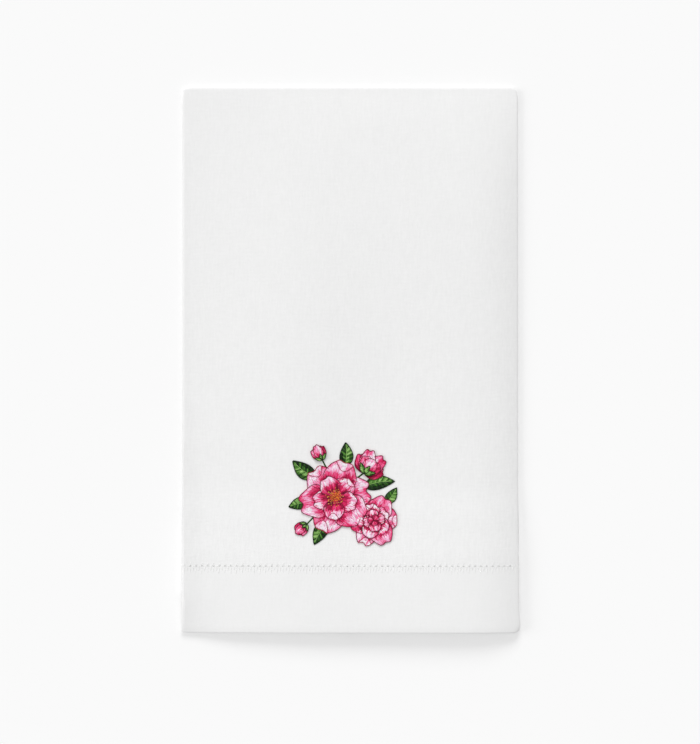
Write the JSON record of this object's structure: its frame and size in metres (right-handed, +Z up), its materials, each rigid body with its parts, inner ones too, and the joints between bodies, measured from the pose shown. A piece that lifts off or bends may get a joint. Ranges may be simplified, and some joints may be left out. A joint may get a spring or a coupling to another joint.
{
  "type": "folded hemstitched linen hand towel",
  "caption": "White linen hand towel folded flat for display, with deep hemstitched hems and a pink flower spray embroidered above the front hem.",
  "frame": {"origin": "under the middle of the folded towel, on the surface that it lies on", "axes": "+Z up from the surface, +Y from the hemmed end to the cross fold, +X to the right as the embroidered face is seen from above with the hem towards the viewer"},
  "size_m": [0.179, 0.2912, 0.0096],
  "materials": {
    "linen": "matt white plain-weave linen with fine slubs",
    "linen_thread": "matt white sewing thread of the hemstitch",
    "pink_thread": "silky rayon embroidery thread, from pale to deep pink",
    "green_thread": "silky rayon embroidery thread, from mid to dark green",
    "gold_thread": "silky rayon embroidery thread, golden orange"
  },
  "bodies": {
    "root": {"towel": "linen"}
  },
  "joints": []
}
